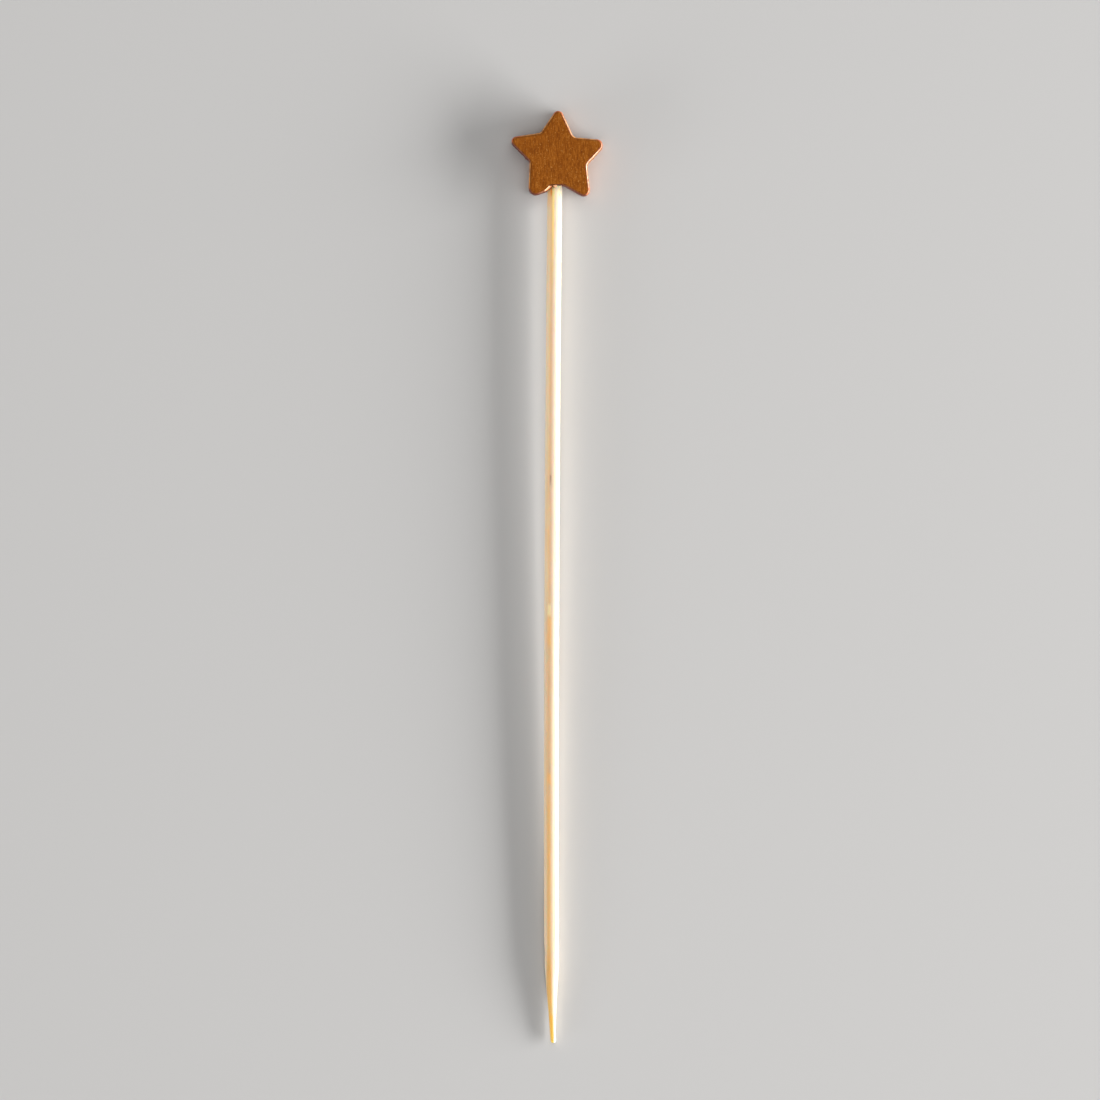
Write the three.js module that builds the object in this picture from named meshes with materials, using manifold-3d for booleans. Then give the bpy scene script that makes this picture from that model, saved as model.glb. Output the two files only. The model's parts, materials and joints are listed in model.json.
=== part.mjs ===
// Star bamboo skewer: a small painted wooden star glued on the blunt end of a pointed bamboo stick.
// Millimetres, +Z up. It lies as on a table, with its star towards +Y and its point towards -Y.
import * as THREE from "three";
import { mergeVertices } from "three/addons/utils/BufferGeometryUtils.js";
import Module from "manifold-3d";

// Star outline, from the star's centre to the corners as they would be before rounding
const armCorner = 6.85;
const valleyCorner = 3.7;
const armRound = 0.85;
const valleyRound = 1.1;

// How each corner of this small cut star departs from an even one, anticlockwise from the top.
// turn is in degrees, and reach and round multiply the sizes above.
const arms = [
  { turn: -1, reach: 0.96, round: 0.75 },
  { turn: -1.9, reach: 1.04, round: 0.75 },
  { turn: 0.1, reach: 0.96, round: 1.1 },
  { turn: 1, reach: 1.03, round: 0.9 },
  { turn: 0, reach: 1.02, round: 0.95 },
];
const valleys = [
  { turn: 0, reach: 1.04, round: 0.3 },
  { turn: -8.7, reach: 1.01, round: 0.6 },
  { turn: 8.5, reach: 0.98, round: 0.7 },
  { turn: 3, reach: 1.03, round: 0.8 },
  { turn: -2.7, reach: 0.865, round: 0.7 },
];
const bottomValley = 2;
const lowerArms = [2, 3];

// Star thickness, and the easing of its face edges
const starThickness = 3.8;
const edgeEase = 0.3;

// Bamboo stick: its round part, its cut blunt end and its ground point
const stickRadius = 0.95;
const stickLength = 115.45;
const bluntChamfer = 0.15;
const pointLength = 9.8;
const pointCurve = 1.3;
const tipRadius = 0.34;
const tipDome = 0.2;
const tipOffCentre = 0.2;

// Natural bow of the stick, as the height of its middle above its chord: to the left and upwards
const bowLeft = 0.19;
const bowUp = 0.3;

// Socket drilled into the star from its bottom valley, a little askew and nearer to the star's front
const socketDepth = 5.6;
const socketClearance = 0.1;
const socketOffset = -0.44;
const socketRise = 0.3;
const socketLean = THREE.MathUtils.degToRad(-0.6);
const drillPointAngle = THREE.MathUtils.degToRad(118);

// Glue at the bottom of the socket
const glueThickness = 0.45;
const glueGap = 0.05;

// Fineness of the faceted surfaces
const roundSides = 48;
const arcSteps = 6;
const easeSteps = 4;
const ringSpacing = 4;
const pointRings = 8;
const domeRings = 3;

const wasm = await Module();
wasm.setup();

// A closed mesh as a solid that can be cut
function toSolid(geometry) {
  const bare = geometry.clone();
  bare.deleteAttribute("normal");
  bare.deleteAttribute("uv");
  const merged = mergeVertices(bare, 1e-5);
  const corners = merged.index.array;
  const triangles = [];
  for (let i = 0; i < corners.length; i += 3) {
    const [a, b, c] = corners.slice(i, i + 3);
    if (a !== b && b !== c && c !== a) {
      triangles.push(a, b, c);
    }
  }
  return new wasm.Manifold(new wasm.Mesh({
    numProp: 3,
    vertProperties: new Float32Array(merged.attributes.position.array),
    triVerts: new Uint32Array(triangles),
  }));
}

// A cut solid as a mesh again
function fromSolid(solid) {
  const mesh = solid.getMesh();
  const geometry = new THREE.BufferGeometry();
  geometry.setAttribute("position", new THREE.BufferAttribute(mesh.vertProperties, mesh.numProp));
  geometry.setIndex(new THREE.BufferAttribute(mesh.triVerts, 1));
  geometry.computeVertexNormals();
  return geometry;
}

// A solid of revolution about Y, from [radius, y] pairs that run upwards from axis to axis
function turned(profile) {
  const points = profile.map(([radius, y]) => new THREE.Vector2(radius, y));
  return new THREE.LatheGeometry(points, roundSides);
}

// One sharp corner of the star, before rounding
function cornerAt(evenTurn, corner, reach, round) {
  const angle = THREE.MathUtils.degToRad(evenTurn + corner.turn);
  const out = reach * corner.reach;
  const place = new THREE.Vector2(Math.cos(angle), Math.sin(angle)).multiplyScalar(out);
  return { place, round: round * corner.round };
}

// The star's ten corners, anticlockwise: an arm, the valley after it, and so on
function starCorners() {
  const fifth = 360 / arms.length;
  const topTurn = 90;
  return arms.flatMap((arm, i) => [
    cornerAt(topTurn + i * fifth, arm, armCorner, armRound),
    cornerAt(topTurn + (i + 0.5) * fifth, valleys[i], valleyCorner, valleyRound),
  ]);
}

// The arc that rounds a corner, and the middle of that arc
function cornerArc(corners, i) {
  const { place, round } = corners[i];
  const before = corners[(i + corners.length - 1) % corners.length].place.clone().sub(place).normalize();
  const after = corners[(i + 1) % corners.length].place.clone().sub(place).normalize();
  const half = Math.acos(before.dot(after)) / 2;
  const inward = before.clone().add(after).normalize();
  const centre = place.clone().addScaledVector(inward, round / Math.sin(half));
  const start = place.clone().addScaledVector(before, round / Math.tan(half)).sub(centre);
  const end = place.clone().addScaledVector(after, round / Math.tan(half)).sub(centre);
  const crown = centre.clone().addScaledVector(inward, -round);
  const clockwise = start.cross(end) < 0;
  return { centre, round, start: start.angle(), end: end.angle(), clockwise, crown };
}

const corners = starCorners();
const arcs = corners.map((corner, i) => cornerArc(corners, i));
const armArc = (i) => arcs[2 * i];
const valleyArc = (i) => arcs[2 * i + 1];

// Socket: its mouth is at the floor of the bottom valley, and it ends in the drill's cone
const socketRadius = stickRadius + socketClearance;
const socketMouth = new THREE.Vector3(socketOffset, valleyArc(bottomValley).crown.y, socketRise);
const socketCone = socketRadius / Math.tan(drillPointAngle / 2);
const socketRunOut = 2 * socketRadius;

// Turned about Y, with y = 0 at the socket's mouth and +Y going into the star
const socketCutter = turned([
  [0, -socketRunOut],
  [socketRadius, -socketRunOut],
  [socketRadius, socketDepth],
  [0, socketDepth + socketCone],
]);

function starGeometry() {
  const outline = new THREE.Shape();
  for (const arc of arcs) {
    outline.absarc(arc.centre.x, arc.centre.y, arc.round, arc.start, arc.end, arc.clockwise);
  }
  const block = new THREE.ExtrudeGeometry(outline, {
    depth: starThickness - 2 * edgeEase,
    bevelThickness: edgeEase,
    bevelSize: edgeEase,
    bevelOffset: -edgeEase,
    bevelSegments: easeSteps,
    curveSegments: arcSteps,
  });
  block.translate(0, 0, edgeEase - starThickness / 2);
  const cutter = socketCutter.clone().rotateZ(socketLean);
  cutter.translate(socketMouth.x, socketMouth.y, socketMouth.z);
  return fromSolid(toSolid(block).subtract(toSolid(cutter)));
}

// Stick: how far it goes into the star, and how much of it shows
const insertion = socketDepth - glueThickness - 2 * glueGap;
const stickShown = stickLength - insertion;
const shoulder = stickShown - pointLength;

// Radius of the ground point, from 0 at its shoulder to 1 at its tip
function pointRadius(share) {
  return tipRadius + (stickRadius - tipRadius) * (1 - share) ** pointCurve;
}

// How far a bow has carried the stick off the socket's axis, at a distance out from the mouth
function bowedBy(height, out) {
  return 4 * height * (Math.max(0, out) / stickShown) ** 2;
}

// How far the ground point has come off the stick's centre, at a distance out from the mouth
function groundOff(out) {
  return tipOffCentre * Math.max(0, (out - shoulder) / pointLength) ** 2;
}

function stickGeometry() {
  const profile = [[0, -stickShown]];
  for (let i = 1; i <= domeRings; i += 1) {
    const turn = (i / domeRings) * (Math.PI / 2);
    profile.push([tipRadius * Math.sin(turn), -stickShown + tipDome * (1 - Math.cos(turn))]);
  }
  const ground = pointLength - tipDome;
  for (let i = 1; i <= pointRings; i += 1) {
    const share = 1 - i / pointRings;
    profile.push([pointRadius(share), -shoulder - ground * share]);
  }
  const straight = shoulder + insertion - bluntChamfer;
  const rings = Math.ceil(straight / ringSpacing);
  for (let i = 1; i <= rings; i += 1) {
    profile.push([stickRadius, -shoulder + (straight * i) / rings]);
  }
  profile.push([stickRadius - bluntChamfer, insertion]);
  profile.push([0, insertion]);
  const geometry = turned(profile);
  const places = geometry.attributes.position;
  for (let i = 0; i < places.count; i += 1) {
    const out = -places.getY(i);
    places.setX(i, places.getX(i) + bowedBy(bowLeft, out) + groundOff(out));
    places.setZ(i, places.getZ(i) - bowedBy(bowUp, out));
  }
  geometry.computeVertexNormals();
  return geometry;
}

// Glue: a plug between the stick's end and the bottom of the socket, drawn to the drill's cone
function glueGeometry() {
  const radius = socketRadius - glueGap;
  const cone = radius / Math.tan(drillPointAngle / 2);
  const bottom = insertion + glueGap;
  return turned([
    [0, bottom],
    [radius, bottom],
    [radius, bottom + glueThickness],
    [0, bottom + glueThickness + cone],
  ]);
}

const starPaint = new THREE.MeshStandardMaterial({ color: 0xa0602a, roughness: 0.5, metalness: 0.6 });
const bamboo = new THREE.MeshStandardMaterial({ color: 0xe8cf9c, roughness: 0.6, metalness: 0 });
const driedGlue = new THREE.MeshStandardMaterial({ color: 0xe6dcc0, roughness: 0.4, metalness: 0 });

function part(name, geometry, material) {
  const mesh = new THREE.Mesh(geometry, material);
  mesh.name = name;
  return mesh;
}

// The stick and the glue follow the socket
const inSocket = new THREE.Group();
inSocket.position.copy(socketMouth);
inSocket.rotation.z = socketLean;
inSocket.add(part("skewer", stickGeometry(), bamboo));
inSocket.add(part("glue", glueGeometry(), driedGlue));

// At rest the star stands on its two lower arms and the stick on the shoulder of its point
const armRest = Math.max(...lowerArms.map((i) => -armArc(i).crown.y)) - edgeEase;
const stickRest = shoulder - socketMouth.y;
const restDrop = starThickness / 2 + socketRise - stickRadius - bowedBy(bowUp, shoulder);
const restLean = Math.atan(restDrop / (stickRest - armRest));
const lying = new THREE.Group();
lying.rotation.x = restLean;
lying.add(part("star", starGeometry(), starPaint), inSocket);

// The origin is on the table, under the middle of the box that the whole piece fills
const skewerPick = new THREE.Group();
skewerPick.add(lying);
skewerPick.updateMatrixWorld(true);
const box = new THREE.Box3().setFromObject(skewerPick, true);
const middle = box.getCenter(new THREE.Vector3());
skewerPick.position.set(-middle.x, -middle.y, -box.min.z);

export default skewerPick;
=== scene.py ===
# Star bamboo skewer: the finished star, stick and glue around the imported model, lying on a pale floor.
# Metres, +Z up, as the model is. The pieces are shaped in millimetres and brought to metres at the end.
import json
import math
import random
from bisect import bisect_right

import bmesh
import bpy
from mathutils import Matrix, Vector, noise
from mathutils.bvhtree import BVHTree


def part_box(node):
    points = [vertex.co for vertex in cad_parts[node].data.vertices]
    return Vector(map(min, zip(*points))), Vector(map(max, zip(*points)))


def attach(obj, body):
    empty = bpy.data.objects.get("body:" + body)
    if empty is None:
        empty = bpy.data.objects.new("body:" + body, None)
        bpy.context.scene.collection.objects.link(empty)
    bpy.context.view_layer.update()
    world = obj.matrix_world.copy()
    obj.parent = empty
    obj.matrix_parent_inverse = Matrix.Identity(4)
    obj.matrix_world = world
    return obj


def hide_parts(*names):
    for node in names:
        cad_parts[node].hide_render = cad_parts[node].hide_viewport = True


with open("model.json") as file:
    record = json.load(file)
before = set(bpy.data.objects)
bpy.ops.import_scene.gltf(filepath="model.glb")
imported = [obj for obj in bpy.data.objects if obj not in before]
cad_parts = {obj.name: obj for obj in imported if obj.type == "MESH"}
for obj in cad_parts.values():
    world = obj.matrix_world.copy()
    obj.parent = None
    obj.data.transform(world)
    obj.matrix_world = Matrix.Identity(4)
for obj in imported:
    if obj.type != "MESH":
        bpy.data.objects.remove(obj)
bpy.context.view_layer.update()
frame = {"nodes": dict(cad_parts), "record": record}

MM = 0.001
TO_MM = Matrix.Scale(1 / MM, 4)
TO_METRES = Matrix.Scale(MM, 4)

# How near the model's loose corners lie where they are joined, in millimetres
MERGE_DISTANCE = 0.001

# Star, in millimetres: the even grid that it is modelled on, and how often that is smoothed
STAR_GRID = 0.07
STAR_SMOOTHING = 2

# The planed grain on its faces, with sizes along X, Y and Z: a slight swell, soft furrows and open pores
SWELL_SIZE = (2.2, 4, 1)
SWELL_HEIGHT = 0.006
FURROW_SIZE = (0.16, 1.2, 0.16)
FURROW_DEPTH = 0.004
PORE_SIZE = (0.15, 0.5, 0.15)
PORE_SHIFT = 17
PORE_START = 0.45
PORE_DEPTH = 0.016

# Its cut and sanded wall: wide waves and short torn fibres
WAVE_SIZE = (1.5, 1.5, 6)
WAVE_HEIGHT = 0.05
FUZZ_SIZE = (0.25, 0.5, 0.3)
FUZZ_HEIGHT = 0.018

# Burrs left on the star's cut edge: place from its centre, how far they stand out and how wide they are
BURRS = ((Vector((-4.09, -0.10)), 0.10, 0.16), (Vector((4.44, -0.04)), 0.08, 0.18))

# Wood torn off over the socket's mouth, from the star's centre, in millimetres: a block that two planes
# trim at its left and right, each given by a place on it and the way out of the block
TEAR_ACROSS = (-1.9, 0.75)
TEAR_OUTER = -5.5
TEAR_INNER = -3.81
TEAR_FLOOR = 0.8
TEAR_TOP = 2.6
TEAR_LEFT = (Vector((-1.37, -4.00, 1.90)), Vector((-0.68, 0.72, -0.60)))
TEAR_RIGHT = (Vector((0.50, -3.63, 1.90)), Vector((0.75, 0.50, -0.10)))
TEAR_HALVINGS = 5
TEAR_LUMPS = (0.35, 0.5, 0.7)
TEAR_ROUGHNESS = 0.03

# The tear's inner wall: where it meets the star's face, and how it leans inwards below that. It slopes more
# in two places and its edge is scalloped: start and end across, and the added slope or the depth.
TEAR_FACE = 1.9
TEAR_FACE_EDGE = -3.64
TEAR_LEAN = 0.20
TEAR_SLOPES = ((-1.15, -0.66, 0.40), (-0.64, -0.16, 0.90))
TEAR_SCALLOPS = ((-0.92, -0.36, 0.07), (-0.36, 0.46, 0.08))

# Where torn wood is pale or reddish: how far down the tear's left side, where that side ends, and one tuft
PALE_DEPTH = 0.13
REDDISH_DEPTH = 0.34
LEFT_SIDE_END = -3.74
TORN_TUFT = Vector((-0.40, -3.82, 1.70))
TUFT_RADIUS = 0.26

# How near a place lies to the tear or to the socket's wall to be torn or drilled, and where the drilled
# wood turns pale
TORN_REACH = 0.06
DRILLED_REACH = 0.03
PALE_SOCKET_START = -2.6

# The way the star's edge faces where it is painted dark as shade, and the way, towards the window light,
# where it gets a painted highlight, and how far sideways a place has to face to count as edge
SHADED_EDGE_SIDE = Vector((-0.45, -0.89, 0))
LIT_EDGE_SIDE = Vector((0.97, -0.26, 0))
LEAST_SIDEWAYS = 0.05

# How far from its centre the star's arm tips begin, where the paint is redder, and how soon
TIP_START = 5.1
TIP_FADE = 0.5

# Clearance drilled round the stick, and how far the socket's mouth is in from the star's lower arms
SOCKET_CLEARANCE = 0.1
MOUTH_INSET = 1.2

# Stick, in millimetres: its sides, the steps between its rings, those at its tip and its blunt end, and its
# least radius and the share of its radius that counts as full
STICK_SIDES = 112
SHAFT_STEP = 0.6
POINT_STEP = 0.18
TIP_RISES = (0.0, 0.02, 0.06, 0.12, 0.2)
PAST_SHOULDER = 0.5
BLUNT_END = 0.2
BLUNT_CHAMFER = 0.15
LEAST_RADIUS = 0.06
NEARLY_FULL = 0.999

# Its planed surface: long flats, of which FLATS_ROUND sets how many go round it, and fine fibres
FLATS_ROUND = 1.4
FLAT_LENGTH = 38
FLAT_HEIGHT = 0.014
FIBRE_WIDTH = 0.13
FIBRE_LENGTH = 9
FIBRE_HEIGHT = 0.008

# Grooves that lost fibres have left: ranges of half width in radians, of length, and of drift round the
# stick in radians a millimetre, their depth, their fading ends, and the ends of the stick where none starts
GROOVES = 16
GROOVE_WIDTHS = (0.04, 0.09)
GROOVE_LENGTHS = (6, 34)
GROOVE_DRIFTS = (-0.002, 0.002)
GROOVE_DEPTH = 0.03
GROOVE_FADE = 1.5
FREE_OF_GROOVES = (6, 12)

# A flat ground on the left of its point, given as a groove is: its turn in radians, half width, start and
# end along Y, drift and depth
POINT_FLAT = (2.9, 0.8, -58.6, -46.8, 0.0, 0.085)

# Colours along the stick's top, some the bamboo's own and some painted shade, painted light and a painted
# reflection:
# from and to along Y and how soon they fade, their place and half width across it, colour and strength
STICK_TINTS_AND_PAINTED_LIGHT = (
    # Painted shade: the stick's crown made greyer and darker on either side of its top
    (-70.0, 70.0, 3.0, -0.12, 0.34, (0.66, 0.53, 0.40), 0.85),
    (-70.0, 70.0, 3.0, 0.08, 0.30, (0.62, 0.56, 0.50), 0.65),
    # Painted warm shade on the stick's left side just below the star's mouth
    (47.0, 53.0, 2.5, -0.62, 0.34, (0.86, 0.52, 0.22), 0.80),
    # Painted warm light from the copper star, on the stick's right side just below the mouth
    (48.2, 53.0, 1.5, 0.20, 0.56, (0.90, 0.74, 0.50), 0.60),
    # Painted orange reflection of the copper star, a thin line on the stick's left just below the mouth
    (48.9, 53.0, 0.5, -0.42, 0.15, (0.80, 0.33, 0.07), 0.95),
    (36.0, 65.0, 9.0, -0.17, 0.20, (0.94, 0.72, 0.32), 0.85),
    # Painted shade: the stick's lower half made darker, towards its point
    (-70.0, 0.0, 6.0, -0.30, 0.62, (0.62, 0.50, 0.33), 0.55),
    (-5.2, -3.2, 0.5, -0.32, 0.30, (0.93, 0.84, 0.62), 0.60),
    (-9.2, -4.6, 0.8, -0.32, 0.34, (0.84, 0.56, 0.22), 0.50),
    (-26.9, -25.0, 0.5, -0.30, 0.34, (0.82, 0.54, 0.20), 0.50),
    # Golden on the point's left side, deepening to the tip: partly the ground wood's own colour, partly
    # painted light shining through the thin point
    (-70.0, -27.2, 3.0, -0.32, 0.30, (0.76, 0.55, 0.24), 0.60),
    (-70.0, -47.5, 3.0, -0.32, 0.42, (0.63, 0.43, 0.15), 0.90),
    (-70.0, -56.1, 0.5, -0.20, 0.36, (0.76, 0.40, 0.06), 0.80),
)

# Fibres that the planing lifted: place along Y, turn from +X over the top, length, width and lift
LIFTED_FIBRES = (
    (13.1, 104, 1.95, 0.13, 0.07),
    (-24.4, 101, 0.5, 0.09, 0.03),
    (-8.0, -60, 1.6, 0.10, 0.08),
    (31.5, 200, 2.4, 0.09, 0.10),
    (-36.0, 160, 1.3, 0.08, 0.06),
    (40.6, 20, 1.1, 0.08, 0.05),
)

# The lifted fibres' sides and steps, how thin they end, how flat they are, and how far they are sunk in and
# bend aside. An edge that rises less than LEVEL lies across its fibre.
FIBRE_SIDES = 8
FIBRE_STEPS = 7
FIBRE_TAPER = 7
FIBRE_FLATNESS = 0.5
FIBRE_SINK = 0.01
FIBRE_BEND = 0.04
LEVEL = 0.1

# Camera, in metres: the width that it shows, its height, and how far it stands from the star's centre, to
# the left and towards the stick's point. Its sensor is in millimetres.
FRAME_WIDTH = 0.14159
CAMERA_HEIGHT = 1.1
STAR_ASIDE = 0.001056
STAR_ALONG = 0.050534
SENSOR_WIDTH = 36

# Lights, each with its turn from +X and its height in degrees, its size in metres and its power in watts
LIGHT_DISTANCE = 1.4
LIGHTS = {
    "window": (-12, 13, (1.5, 0.48), 48),
    "overhead": (75, 84, (0.9, 1.8), 9.3),
    "reflector": (-150, 12, (1.0, 0.3), 6.8),
}
DAYLIGHT = (1.0, 0.985, 0.96)

# Floor, in metres
FLOOR_RADIUS = 3.0
FLOOR_SIDES = 96
FLOOR_COLOUR = (0.57, 0.57, 0.575)


def new_piece(name, mesh):
    """A piece made of a mesh, linked into the scene"""
    piece = bpy.data.objects.new(name, mesh)
    bpy.context.scene.collection.objects.link(piece)
    return piece


def mesh_from(bm, name):
    """The mesh of a finished bmesh, smooth shaded, brought from millimetres to metres"""
    bmesh.ops.recalc_face_normals(bm, faces=bm.faces)
    for face in bm.faces:
        face.smooth = True
    mesh = bpy.data.meshes.new(name)
    bm.to_mesh(mesh)
    bm.free()
    mesh.transform(TO_METRES)
    return mesh


def model_in_mm(node):
    """A copy of a model node with its loose triangles joined, in millimetres"""
    bm = bmesh.new()
    bm.from_mesh(frame["nodes"][node].data)
    bmesh.ops.transform(bm, matrix=TO_MM, verts=bm.verts)
    bmesh.ops.remove_doubles(bm, verts=bm.verts, dist=MERGE_DISTANCE)
    return bm


def scratch_piece(name, bm):
    """A helper object for a modifier to read, which is discarded again"""
    mesh = bpy.data.meshes.new(name)
    bm.to_mesh(mesh)
    return new_piece(name, mesh)


def discard(piece):
    """Removes a helper object and its mesh"""
    mesh = piece.data
    bpy.data.objects.remove(piece)
    bpy.data.meshes.remove(mesh)


def carved(solid, cutter, grid):
    """The solid less the cutter, as an even fine mesh that can carry a relief"""
    blank = scratch_piece("blank", solid)
    tool = scratch_piece("cutter", cutter)
    cut = blank.modifiers.new("cut", "BOOLEAN")
    cut.operation = "DIFFERENCE"
    cut.solver = "EXACT"
    cut.object = tool
    remesh = blank.modifiers.new("even_grid", "REMESH")
    remesh.mode = "VOXEL"
    remesh.voxel_size = grid
    fine = bmesh.new()
    fine.from_object(blank, bpy.context.evaluated_depsgraph_get())
    discard(tool)
    discard(blank)
    solid.free()
    return fine


def mount(name):
    """Place and outward direction of one of the record's mounts, the place in millimetres"""
    found = next(m for m in frame["record"]["mounts"] if m["name"] == name)
    return Vector(found["pos_m"]) / MM, Vector(found["axis"]).normalized()


STAR_FRONT, UP = mount("star_front")
STAR_BACK = mount("star_back")[0]
STAR_CENTRE = (STAR_FRONT + STAR_BACK) / 2

# Where the drilled socket ends, along Y from the star's centre
SOCKET_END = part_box("glue")[1].y / MM - STAR_CENTRE.y + SOCKET_CLEARANCE


def read_rings(node, gap=0.05):
    """The model's turned piece read as rings from its lowest Y up: centre and radius"""
    points = sorted(((v.co / MM) for v in frame["nodes"][node].data.vertices), key=lambda p: p.y)
    groups = [[points[0]]]
    for p in points[1:]:
        if p.y - groups[-1][-1].y > gap:
            groups.append([])
        groups[-1].append(p)
    rings = []
    for group in groups:
        xs, zs = [p.x for p in group], [p.z for p in group]
        y = sum(p.y for p in group) / len(group)
        centre = Vector(((min(xs) + max(xs)) / 2, y, (min(zs) + max(zs)) / 2))
        rings.append((centre, (max(xs) - min(xs)) / 2))
    return rings


STICK_RINGS = read_rings("skewer")
STICK_RADIUS = max(radius for _, radius in STICK_RINGS)
SOCKET_RADIUS = STICK_RADIUS + SOCKET_CLEARANCE


def stick_at(y):
    """Centre and radius of the model's stick at a place along Y"""
    ys = [centre.y for centre, _ in STICK_RINGS]
    i = min(max(bisect_right(ys, y) - 1, 0), len(ys) - 2)
    share = min(max((y - ys[i]) / (ys[i + 1] - ys[i]), 0.0), 1.0)
    (here, radius), (there, next_radius) = STICK_RINGS[i], STICK_RINGS[i + 1]
    return here.lerp(there, share), radius + share * (next_radius - radius)


def socket_line():
    """A point on the socket's axis near its mouth, and the way the axis goes into the star"""
    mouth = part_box("star")[0].y / MM + MOUTH_INSET
    inside = [centre for centre, _ in STICK_RINGS if centre.y > mouth]
    return inside[0], (inside[-1] - inside[0]).normalized()


def socket_breakout():
    """The wood that the drill tore from the star's face over the socket's mouth, from the star's centre"""
    left, right = TEAR_ACROSS
    size = (right - left, TEAR_INNER - TEAR_OUTER, TEAR_TOP - TEAR_FLOOR)
    middle = ((right + left) / 2, (TEAR_INNER + TEAR_OUTER) / 2, (TEAR_TOP + TEAR_FLOOR) / 2)
    bm = bmesh.new()
    bmesh.ops.create_cube(bm, size=1)
    bmesh.ops.scale(bm, vec=size, verts=bm.verts)
    bmesh.ops.translate(bm, vec=middle, verts=bm.verts)
    for place, away in (TEAR_LEFT, TEAR_RIGHT):
        geom = bm.verts[:] + bm.edges[:] + bm.faces[:]
        made = bmesh.ops.bisect_plane(bm, geom=geom, plane_co=place, plane_no=away, clear_outer=True)
        rim = [g for g in made["geom_cut"] if isinstance(g, bmesh.types.BMEdge)]
        bmesh.ops.edgenet_fill(bm, edges=rim)
    bmesh.ops.triangulate(bm, faces=bm.faces)
    for _ in range(TEAR_HALVINGS):
        bmesh.ops.subdivide_edges(bm, edges=bm.edges, cuts=1, use_grid_fill=True)
    for vert in bm.verts:
        lump = Vector([along / length for along, length in zip(vert.co, TEAR_LUMPS)])
        if vert.co.y > TEAR_INNER - MERGE_DISTANCE:
            slope = TEAR_LEAN + arches(vert.co.x, TEAR_SLOPES)
            scallop = arches(vert.co.x, TEAR_SCALLOPS)
            vert.co.y = TEAR_FACE_EDGE - slope * (TEAR_FACE - vert.co.z) + scallop
        vert.co += noise.noise_vector(lump) * TEAR_ROUGHNESS
    bmesh.ops.translate(bm, vec=STAR_CENTRE, verts=bm.verts)
    bmesh.ops.recalc_face_normals(bm, faces=bm.faces)
    return bm


def arches(x, rounds):
    """The height at a place of a row of round arches, each with its start, end and height"""
    for start, end, depth in rounds:
        if start < x < end:
            across = 2 * (x - start) / (end - start) - 1
            return depth * math.sqrt(1 - across * across)
    return 0.0


def unevenness(place, size, shift=0.0):
    """A soft random value at a place, about -1 to 1, in lumps of this size along X, Y and Z"""
    x, y, z = (along / length for along, length in zip(place, size))
    return noise.noise(Vector((x, y + shift, z)))


def face_relief(place):
    """Height of the planed wood's grain at a place on a face: soft furrows, pores and a slight swell"""
    swell = unevenness(place, SWELL_SIZE)
    furrow = unevenness(place, FURROW_SIZE)
    pore = unevenness(place, PORE_SIZE, PORE_SHIFT)
    return SWELL_HEIGHT * swell + FURROW_DEPTH * furrow - PORE_DEPTH * max(0.0, pore - PORE_START)


def wall_relief(place):
    """Height of the cut and sanded wall at a place on the star's edge: wide waves and short torn fibres"""
    height = WAVE_HEIGHT * unevenness(place, WAVE_SIZE) + FUZZ_HEIGHT * unevenness(place, FUZZ_SIZE)
    for at, out, width in BURRS:
        height += out * math.exp(-((place.xy - at).length / width) ** 2)
    return height


def paleness(local):
    """How pale torn wood is at a place: 1 high on the tear's left side, 0.5 below that, 0.7 on one tuft"""
    place, away = TEAR_LEFT
    off_plane = abs((local - place).dot(away.normalized()))
    left_side = off_plane < TORN_REACH and local.y < LEFT_SIDE_END
    if left_side and local.z > place.z - PALE_DEPTH:
        return 1.0
    if left_side and local.z > place.z - REDDISH_DEPTH:
        return 0.5
    return 0.7 if (local - TORN_TUFT).length < TUFT_RADIUS else 0.0


def painted_star():
    """The star with its grain under the paint, its cut walls and the torn wood over its socket"""
    breakout = socket_breakout()
    torn_wood = BVHTree.FromBMesh(breakout)
    bm = carved(model_in_mm("star"), breakout, STAR_GRID)
    breakout.free()
    for _ in range(STAR_SMOOTHING):
        bmesh.ops.smooth_vert(bm, verts=bm.verts, factor=0.5,
                              use_axis_x=True, use_axis_y=True, use_axis_z=True)
    bm.normal_update()
    middle, axis = socket_line()
    bare = bm.verts.layers.float.new("bare_wood")
    torn_or_drilled = bm.verts.layers.float.new("torn_wood")
    facing = bm.verts.layers.float.new("face_or_wall")
    shade_side = bm.verts.layers.float.new("painted_shade_side")
    lit_side = bm.verts.layers.float.new("painted_highlight_side")
    tip = bm.verts.layers.float.new("arm_tip")
    for vert in bm.verts:
        local = vert.co - STAR_CENTRE
        flat = abs(vert.normal.dot(UP))
        in_line = (vert.co - middle).cross(axis).length < SOCKET_RADIUS + DRILLED_REACH
        drilled = in_line and local.y < SOCKET_END
        torn = torn_wood.find_nearest(vert.co, TORN_REACH)[0] is not None
        vert[bare] = paleness(local) if torn else float(drilled and local.y > PALE_SOCKET_START)
        vert[torn_or_drilled] = 1.0 if torn or drilled else 0.0
        vert[facing] = flat
        vert[tip] = min(max((local.xy.length - TIP_START) / TIP_FADE, 0.0), 1.0)
        # Edges facing the window carry a painted highlight, those facing away from it painted shade
        sideways = Vector((vert.normal.x, vert.normal.y, 0))
        if sideways.length > LEAST_SIDEWAYS:
            vert[shade_side] = sideways.normalized().dot(SHADED_EDGE_SIDE)
            vert[lit_side] = sideways.normalized().dot(LIT_EDGE_SIDE)
        if not drilled:
            vert.co += vert.normal * (flat * face_relief(local) + (1 - flat) * wall_relief(local))
    return new_piece("painted_star", mesh_from(bm, "painted_star"))


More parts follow.
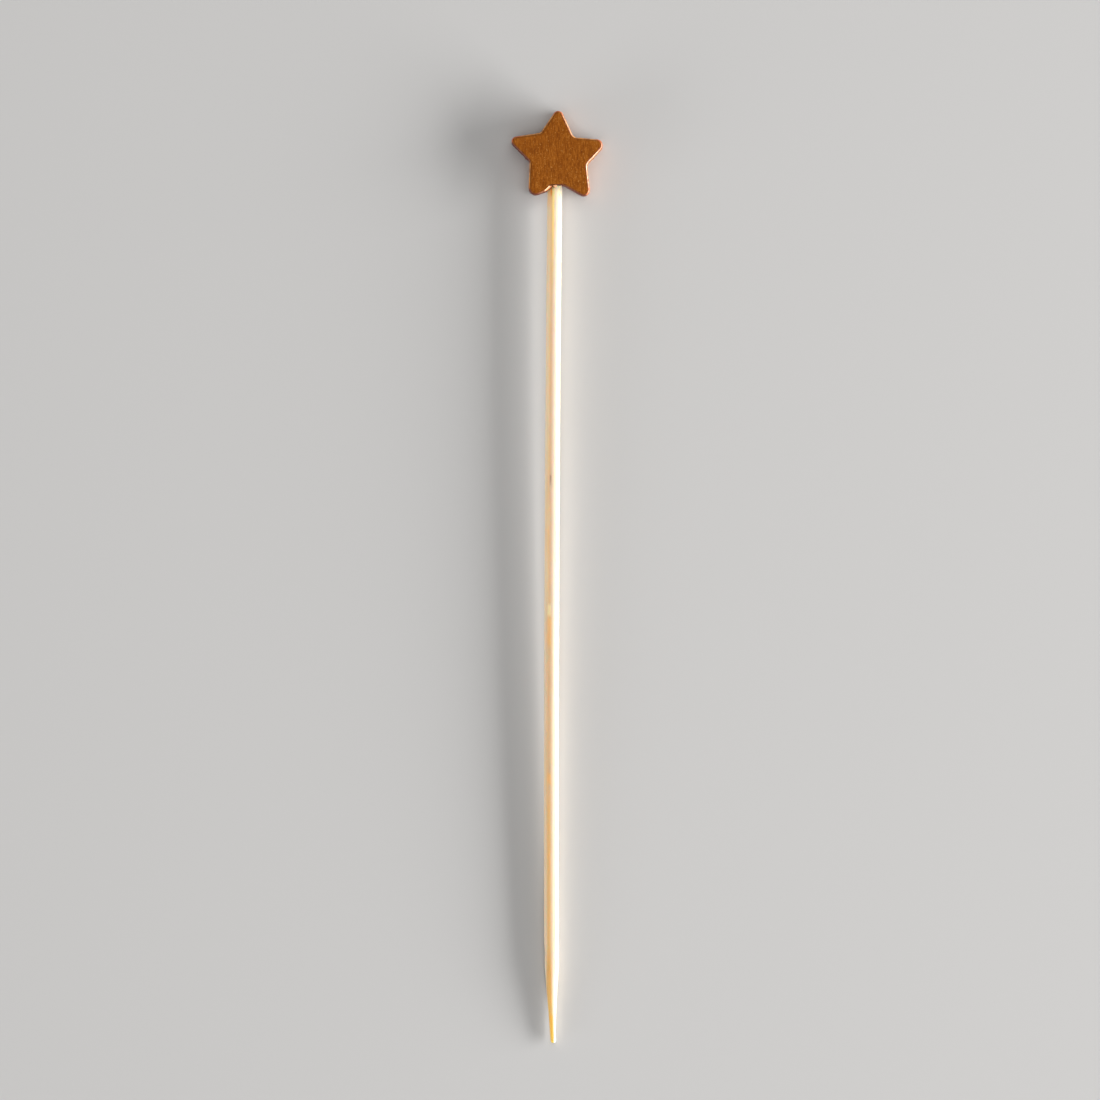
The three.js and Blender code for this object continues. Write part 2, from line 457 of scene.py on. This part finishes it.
def stations():
    """Places along Y for the stick's rings, closer together on its point and at its ends"""
    low, high = STICK_RINGS[0][0].y, STICK_RINGS[-1][0].y
    shoulder = next(c.y for c, r in STICK_RINGS if r > STICK_RADIUS * NEARLY_FULL)
    places = [low + rise for rise in TIP_RISES]
    y = places[-1] + POINT_STEP
    while y < shoulder + PAST_SHOULDER:
        places.append(y)
        y += POINT_STEP
    while y < high - BLUNT_END:
        places.append(y)
        y += SHAFT_STEP
    return places + [high - BLUNT_CHAMFER, high]


def fibre_relief(turn, y, grooves):
    """Height of the planed bamboo at an angle round the stick: flats, fine fibres and open grooves"""
    around = Vector((math.cos(turn), math.sin(turn)))
    rim = around * STICK_RADIUS
    flats = noise.noise(Vector((around.x * FLATS_ROUND, around.y * FLATS_ROUND, y / FLAT_LENGTH)))
    fibres = noise.noise(Vector((rim.x / FIBRE_WIDTH, rim.y / FIBRE_WIDTH, y / FIBRE_LENGTH)))
    height = FLAT_HEIGHT * flats + FIBRE_HEIGHT * fibres
    for at, width, start, end, drift, depth in grooves:
        if start < y < end:
            off = math.remainder(turn - at - drift * (y - start), math.tau) / width
            fade = min(1.0, (y - start) / GROOVE_FADE, (end - y) / GROOVE_FADE)
            height -= depth * fade * math.exp(-off * off)
    return height


def stick_grooves(rng):
    """Places round and along the stick where a fibre has come out, and the flat on its point"""
    low, high = STICK_RINGS[0][0].y, STICK_RINGS[-1][0].y
    free_point, free_neck = FREE_OF_GROOVES
    grooves = [POINT_FLAT]
    for _ in range(GROOVES):
        start = rng.uniform(low + free_point, high - free_neck)
        turn = rng.uniform(-math.pi, math.pi)
        width = rng.uniform(*GROOVE_WIDTHS)
        end = start + rng.uniform(*GROOVE_LENGTHS)
        drift = rng.uniform(*GROOVE_DRIFTS)
        grooves.append((turn, width, start, end, drift, GROOVE_DEPTH))
    return grooves


def bamboo_stick():
    """The round stick on the model's own centre line, with its fibres, flats and ground point"""
    grooves = stick_grooves(random.Random(7))
    bm = bmesh.new()
    places = stations()
    blank_radius = 1.0
    chain = [bm.verts.new((0, places[0], 0))]
    chain += [bm.verts.new((blank_radius, y, 0)) for y in places]
    chain += [bm.verts.new((0, places[-1], 0))]
    edges = [bm.edges.new(pair) for pair in zip(chain, chain[1:])]
    bmesh.ops.spin(bm, geom=chain + edges, cent=(0, 0, 0), axis=(0, 1, 0), angle=math.tau,
                   steps=STICK_SIDES, use_merge=True, use_duplicate=False)
    bmesh.ops.remove_doubles(bm, verts=bm.verts, dist=MERGE_DISTANCE)
    fibre_place = bm.verts.layers.float_vector.new("fibre_place")
    for vert in bm.verts:
        y = vert.co.y
        centre, radius = stick_at(y)
        on_axis = math.hypot(vert.co.x, vert.co.z) < blank_radius / 2
        turn = math.atan2(vert.co.z, vert.co.x)
        out = 0.0
        if not on_axis:
            relief = fibre_relief(turn, y, grooves) * min(1.0, radius / STICK_RADIUS)
            out = max(radius, LEAST_RADIUS) + relief
        offset = Vector((math.cos(turn) * out, 0, math.sin(turn) * out))
        vert[fibre_place] = offset + Vector((0, y, 0))
        vert.co = centre + offset
    return new_piece("bamboo_stick", mesh_from(bm, "bamboo_stick"))


def lifted_fibres():
    """Thin slivers that lie along the stick, rooted at one end and a little raised at the other"""
    bm = bmesh.new()
    fibre_place = bm.verts.layers.float_vector.new("fibre_place")
    for root, degrees, length, width, lift in LIFTED_FIBRES:
        made = bmesh.ops.create_cone(bm, cap_ends=True, segments=FIBRE_SIDES, radius1=width / 2,
                                     radius2=width / FIBRE_TAPER, depth=length)
        edges = {edge for vert in made["verts"] for edge in vert.link_edges}
        sides = [edge for edge in edges if abs(edge.verts[0].co.z - edge.verts[1].co.z) > LEVEL]
        bmesh.ops.subdivide_edges(bm, edges=sides, cuts=FIBRE_STEPS, use_grid_fill=True)
        turn = math.radians(degrees)
        out = Vector((math.cos(turn), 0, math.sin(turn)))
        side = Vector((-math.sin(turn), 0, math.cos(turn)))
        unplaced = [v for v in bm.verts if v[fibre_place].length == 0]
        for vert in unplaced:
            share = vert.co.z / length + 0.5
            y = root - share * length
            centre, radius = stick_at(y)
            height = radius - FIBRE_SINK + lift * share ** 2 + vert.co.y * FIBRE_FLATNESS
            offset = out * height + side * (vert.co.x + FIBRE_BEND * share ** 2)
            vert[fibre_place] = offset + Vector((0, y, 0))
            vert.co = centre + offset
            vert.co.y = y
    return new_piece("lifted_fibres", mesh_from(bm, "lifted_fibres"))


class Finish:
    """A material being put together from shader nodes; its sizes are in millimetres"""

    def __init__(self, name, place=None):
        self.material = bpy.data.materials.new(name)
        self.material.use_nodes = True
        self.nodes = self.material.node_tree.nodes
        self.links = self.material.node_tree.links
        self.shader = self.nodes["Principled BSDF"]
        self.unit = MM if place is None else 1
        if place is None:
            self.place = self.nodes.new("ShaderNodeTexCoord").outputs["Object"]
        else:
            self.place = self.put("ShaderNodeAttribute", attribute_name=place).outputs["Vector"]

    def put(self, kind, **settings):
        """A new node with its settings"""
        node = self.nodes.new(kind)
        for key, value in settings.items():
            setattr(node, key, value)
        return node

    def join(self, source, target):
        """A link from one socket to another"""
        self.links.new(source, target)

    def stretched(self, across, along, shift=0.0):
        """The piece's place with features of these sizes, across X and Z and along Y"""
        mapping = self.put("ShaderNodeMapping")
        mapping.inputs["Scale"].default_value = [1 / (size * self.unit) for size in (across, along, across)]
        mapping.inputs["Location"].default_value = (shift, shift, shift)
        self.join(self.place, mapping.inputs["Vector"])
        return mapping.outputs["Vector"]

    def noise(self, across, along, detail=2.0, rough=0.5, shift=0.0):
        """A soft random pattern, from 0 to 1"""
        texture = self.put("ShaderNodeTexNoise")
        texture.inputs["Scale"].default_value = 1.0
        texture.inputs["Detail"].default_value = detail
        texture.inputs["Roughness"].default_value = rough
        self.join(self.stretched(across, along, shift), texture.inputs["Vector"])
        return texture.outputs["Fac"]

    def attribute(self, name):
        """A value that the piece carries at each of its points"""
        return self.put("ShaderNodeAttribute", attribute_name=name).outputs["Fac"]

    def part(self, which):
        """One coordinate of the place, X, Y or Z"""
        split = self.put("ShaderNodeSeparateXYZ")
        self.join(self.place, split.inputs["Vector"])
        return split.outputs[which]

    def work_out(self, operation, first, second=0.0):
        """One step of arithmetic on values or numbers"""
        node = self.put("ShaderNodeMath", operation=operation)
        for item, target in ((first, node.inputs[0]), (second, node.inputs[1])):
            if isinstance(item, (int, float)):
                target.default_value = item
            else:
                self.join(item, target)
        return node.outputs["Value"]

    def ramp(self, value, stops):
        """A colour for each value, from (place, colour) pairs"""
        ramp = self.put("ShaderNodeValToRGB")
        elements = ramp.color_ramp.elements
        while len(elements) < len(stops):
            elements.new(0.5)
        for element, (at, colour) in zip(elements, stops):
            element.position = at
            element.color = (*colour, 1)
        self.join(value, ramp.inputs["Fac"])
        return ramp.outputs["Color"]

    def spread(self, value, low, high, to_low=0.0, to_high=1.0):
        """A value moved from one range to another and held inside it"""
        node = self.put("ShaderNodeMapRange")
        for name, number in zip(("From Min", "From Max", "To Min", "To Max"), (low, high, to_low, to_high)):
            node.inputs[name].default_value = number
        self.join(value, node.inputs["Value"])
        return node.outputs["Result"]

    def mix(self, share, first, second, blend="MIX"):
        """Two colours or values mixed by a share that is a number or a value"""
        node = self.put("ShaderNodeMix", data_type="RGBA", blend_type=blend)
        # The node has sockets for each kind of value: 0 is the share, 6 and 7 are the colours to mix
        for item, target in ((share, node.inputs[0]), (first, node.inputs[6]), (second, node.inputs[7])):
            if isinstance(item, (int, float)):
                target.default_value = item
            elif isinstance(item, tuple):
                target.default_value = (*item, 1)
            else:
                self.join(item, target)
        return node.outputs[2]

    def bump(self, height, distance, strength=1.0):
        """A fine relief of this height"""
        node = self.put("ShaderNodeBump")
        node.inputs["Strength"].default_value = strength
        node.inputs["Distance"].default_value = distance * MM
        self.join(height, node.inputs["Height"])
        self.join(node.outputs["Normal"], self.shader.inputs["Normal"])

    def set(self, **values):
        """Constants on the shader's own sockets, written with _ for a space"""
        for name, value in values.items():
            self.shader.inputs[name.replace("_", " ")].default_value = value


def copper_paint():
    """Copper-gold paint showing the grain, with a painted highlight and painted shade on its edges, and
    torn to wood at the socket
    """
    finish = Finish("copper_paint_on_wood")
    grain = finish.noise(0.14, 0.85, detail=2.0, rough=0.6)
    mottle = finish.noise(0.12, 0.14, detail=2.0, rough=0.6, shift=31.0)
    blotch = finish.noise(1.3, 2.0, detail=2.0, shift=3.0)
    tone = finish.mix(0.15, finish.mix(0.45, grain, mottle), blotch)
    paint = finish.ramp(tone, [(0.36, (0.15, 0.034, 0.001)), (0.5, (0.25, 0.068, 0.002)),
                               (0.62, (0.37, 0.123, 0.013))])
    speck = finish.spread(finish.noise(0.15, 0.19, detail=1.0, shift=57.0), 0.66, 0.72)
    paint = finish.mix(speck, paint, (0.43, 0.18, 0.036))
    # From the face over a dark line just inside the edge on the window side, to the edge's colour with its
    # painted highlight, and down to the wall
    facing = finish.attribute("face_or_wall")
    off_line = finish.work_out("ABSOLUTE", finish.work_out("SUBTRACT", facing, 0.95))
    lit_side = finish.spread(finish.attribute("painted_highlight_side"), 0.35, 0.90)
    line = finish.work_out("MULTIPLY", finish.spread(off_line, 0.02, 0.05, 0.8, 0.0), lit_side)
    paint = finish.mix(line, paint, (0.14, 0.024, 0.005))
    edge = finish.spread(facing, 0.70, 0.91, 1.0, 0.0)
    # On the window side the painted highlight reaches further down the wall
    from_wall = finish.work_out("SUBTRACT", facing, finish.work_out("MULTIPLY", lit_side, 0.2))
    wall = finish.spread(from_wall, 0.15, 0.45, 1.0, 0.0)
    cut_grain = finish.mix(0.5, finish.noise(0.10, 1.6, detail=3.0, rough=0.65, shift=12.0), blotch)
    cut_paint = finish.ramp(cut_grain, [(0.34, (0.20, 0.066, 0.016)), (0.5, (0.32, 0.12, 0.035)),
                                        (0.66, (0.44, 0.18, 0.060))])
    # The edge's copper, paler towards the window as a painted highlight, broken in patches, and redder at
    # the arm tips
    edge_colour_and_highlight = finish.mix(lit_side, (1.0, 0.45, 0.115), (0.88, 0.52, 0.32))
    highlight_gaps = finish.spread(finish.noise(0.36, 0.50, detail=3.0, shift=41.0), 0.46, 0.60, 0.0, 0.8)
    edge_colour_and_highlight = finish.mix(highlight_gaps, edge_colour_and_highlight, (0.42, 0.14, 0.045))
    edge_colour_and_highlight = finish.mix(finish.attribute("arm_tip"), edge_colour_and_highlight, (0.72, 0.19, 0.07))
    # Painted shade: edges facing away from the window are made dark maroon
    shade_side = finish.spread(finish.attribute("painted_shade_side"), 0.50, 0.72)
    rim = finish.mix(wall, edge_colour_and_highlight, cut_paint)
    rim = finish.mix(shade_side, rim, (0.16, 0.028, 0.008))
    paint = finish.mix(edge, paint, rim)
    # Dark brown on torn and drilled wood at the mouth: partly paint soaked into it, partly painted shade in
    # the tear and the socket's mouth
    torn = finish.attribute("torn_wood")
    paint = finish.mix(torn, paint, (0.10, 0.030, 0.008))
    wood_grain = finish.noise(0.10, 1.2, detail=3.0, shift=5.0)
    wood = finish.ramp(wood_grain, [(0.3, (0.66, 0.46, 0.25)), (0.7, (0.90, 0.76, 0.52))])
    bare = finish.attribute("bare_wood")
    paint = finish.mix(finish.spread(bare, 0.0, 0.5), paint, (0.62, 0.22, 0.09))
    paint = finish.mix(finish.spread(bare, 0.5, 1.0), paint, wood)
    finish.join(paint, finish.shader.inputs["Base Color"])
    metal = finish.spread(torn, 0, 1, 0.55, 0.0)
    metal = finish.work_out("MULTIPLY", metal, finish.spread(edge, 0, 1, 1.0, 0.2))
    finish.join(metal, finish.shader.inputs["Metallic"])
    finish.join(finish.spread(mottle, 0.3, 0.7, 0.42, 0.55), finish.shader.inputs["Roughness"])
    gloss = finish.work_out("MULTIPLY", finish.spread(facing, 0.90, 0.995, 1.0, 0.04),
                            finish.spread(torn, 0, 1, 1.0, 0.0))
    gloss = finish.work_out("MULTIPLY", gloss, finish.spread(lit_side, 0, 1, 0.3, 0.7))
    gloss = finish.work_out("MULTIPLY", gloss, finish.spread(wall, 0, 1, 1.0, 0.1))
    finish.join(gloss, finish.shader.inputs["Coat Weight"])
    finish.set(Coat_Roughness=0.45, Coat_IOR=1.8, Specular_IOR_Level=0.12)
    finish.bump(tone, 0.02, 0.5)
    return finish.material


def bamboo(name, place):
    """Planed bamboo: pale straw with tan and honey fibres along it, golden at its point partly as painted
    light through it, and painted shade, light and a reflection near the star and on its crown
    """
    finish = Finish(name, place)
    broad = finish.noise(0.5, 30, detail=2.0)
    fibres = finish.noise(0.10, 16, detail=3.0, rough=0.6, shift=9.0)
    tone = finish.mix(0.45, broad, fibres)
    colour = finish.ramp(tone, [(0.32, (0.74, 0.56, 0.36)), (0.45, (0.79, 0.65, 0.47)),
                                (0.58, (0.82, 0.71, 0.56)), (0.75, (0.86, 0.78, 0.66))])
    # A long darker line left of the stick's crown, wandering a little and of varying strength
    wander = finish.spread(finish.noise(40, 22, shift=2.0), 0.3, 0.7, -0.10, 0.10)
    across = finish.work_out("ADD", finish.part("X"), wander)
    strength = finish.spread(finish.noise(40, 6, detail=2.0, shift=4.0), 0.35, 0.6, 0.2, 0.6)
    darker_line_left_of_crown = finish.work_out("MULTIPLY", streak(finish, across, -0.38, 0.10, 0.26), strength)
    colour = finish.mix(darker_line_left_of_crown, colour, (0.80, 0.57, 0.31))
    for low, high, fade, middle, width, tint, most in STICK_TINTS_AND_PAINTED_LIGHT:
        begun = finish.spread(finish.part("Y"), low, low + fade, 0.0, most)
        unended = finish.spread(finish.part("Y"), high - fade, high, 1.0, 0.0)
        along = finish.work_out("MULTIPLY", begun, unended)
        line = streak(finish, finish.part("X"), middle, width * 0.5, width)
        share = finish.work_out("MULTIPLY", line, along)
        colour = finish.mix(share, colour, tint)
    finish.join(colour, finish.shader.inputs["Base Color"])
    finish.join(finish.spread(fibres, 0.3, 0.7, 0.55, 0.40), finish.shader.inputs["Roughness"])
    finish.set(Subsurface_Weight=0.85, Subsurface_Radius=(3.6, 2.4, 1.6), Subsurface_Scale=1.0 * MM)
    finish.bump(fibres, 0.02, 0.5)
    return finish.material


def streak(finish, across, middle, full, none):
    """1 on a line along the top of the stick, down to 0 at a distance from it"""
    off = finish.work_out("ABSOLUTE", finish.work_out("SUBTRACT", across, middle))
    above = finish.spread(finish.part("Z"), 0.0, 0.3)
    return finish.work_out("MULTIPLY", finish.spread(off, full, none, 1.0, 0.0), above)


def dried_glue():
    """Clear yellowish wood glue, a little cloudy"""
    finish = Finish("dried_glue")
    cloud = finish.noise(0.5, 0.5)
    colour = finish.ramp(cloud, [(0.3, (0.62, 0.48, 0.25)), (0.7, (0.78, 0.68, 0.45))])
    finish.join(colour, finish.shader.inputs["Base Color"])
    finish.join(finish.spread(cloud, 0.3, 0.7, 0.28, 0.45), finish.shader.inputs["Roughness"])
    finish.bump(cloud, 0.03, 0.4)
    return finish.material


def floor():
    """The pale floor that the pick lies on"""
    bm = bmesh.new()
    bmesh.ops.create_circle(bm, cap_ends=True, segments=FLOOR_SIDES, radius=FLOOR_RADIUS)
    mesh = bpy.data.meshes.new("pale_floor")
    bm.to_mesh(mesh)
    bm.free()
    piece = new_piece("pale_floor", mesh)
    material = bpy.data.materials.new("pale_floor")
    material.use_nodes = True
    shader = material.node_tree.nodes["Principled BSDF"]
    shader.inputs["Base Color"].default_value = (*FLOOR_COLOUR, 1)
    shader.inputs["Roughness"].default_value = 0.6
    piece.data.materials.append(material)


def soft_light(name, turn, elevation, size, energy):
    """A large soft light that faces the pick, from a turn round it and an elevation in degrees"""
    data = bpy.data.lights.new(name, "AREA")
    data.shape = "RECTANGLE"
    data.size, data.size_y = size
    data.energy = energy
    data.color = DAYLIGHT
    turn, elevation = math.radians(turn), math.radians(elevation)
    level = math.cos(elevation)
    towards = Vector((level * math.cos(turn), level * math.sin(turn), math.sin(elevation)))
    lamp = bpy.data.objects.new(name, data)
    lamp.location = towards * LIGHT_DISTANCE
    lamp.rotation_euler = towards.to_track_quat("Z", "Y").to_euler()
    bpy.context.scene.collection.objects.link(lamp)


def lights():
    """A wide window low on the right, a softer light overhead and a weak reflector at the near left"""
    for name, (turn, elevation, size, energy) in LIGHTS.items():
        soft_light(name, turn, elevation, size, energy)


def pale_surround():
    """Faint light from pale walls, and little from the ceiling"""
    world = bpy.data.worlds.new("pale_surround")
    world.use_nodes = True
    nodes, links = world.node_tree.nodes, world.node_tree.links
    background = nodes["Background"]
    background.inputs["Color"].default_value = (*DAYLIGHT, 1)
    direction = nodes.new("ShaderNodeTexCoord").outputs["Generated"]
    split = nodes.new("ShaderNodeSeparateXYZ")
    links.new(direction, split.inputs["Vector"])
    height = nodes.new("ShaderNodeMapRange")
    for name, number in zip(("From Min", "From Max", "To Min", "To Max"), (0, 1, 0.30, 0.05)):
        height.inputs[name].default_value = number
    links.new(split.outputs["Z"], height.inputs["Value"])
    links.new(height.outputs["Result"], background.inputs["Strength"])
    bpy.context.scene.world = world


def camera():
    """The photograph's view: from straight above, far enough off to be nearly square"""
    data = bpy.data.cameras.new("camera")
    data.sensor_width = SENSOR_WIDTH
    data.lens = data.sensor_width * (CAMERA_HEIGHT - STAR_CENTRE.z * MM) / FRAME_WIDTH
    eye = bpy.data.objects.new("camera", data)
    eye.location = (STAR_CENTRE.x * MM - STAR_ASIDE, STAR_CENTRE.y * MM - STAR_ALONG, CAMERA_HEIGHT)
    bpy.context.scene.collection.objects.link(eye)
    bpy.context.scene.camera = eye


def dress(piece, material):
    """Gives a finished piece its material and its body"""
    piece.data.materials.append(material)
    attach(piece, "root")


camera()
lights()
pale_surround()
floor()
star = painted_star()
dress(star, copper_paint())
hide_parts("star")
stick = bamboo_stick()
stick_finish = bamboo("bamboo", "fibre_place")
dress(stick, stick_finish)
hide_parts("skewer")
dress(lifted_fibres(), stick_finish)
glue = frame["nodes"]["glue"]
glue.data.materials.clear()
glue.data.materials.append(dried_glue())

bpy.context.scene.view_settings.view_transform = "Standard"
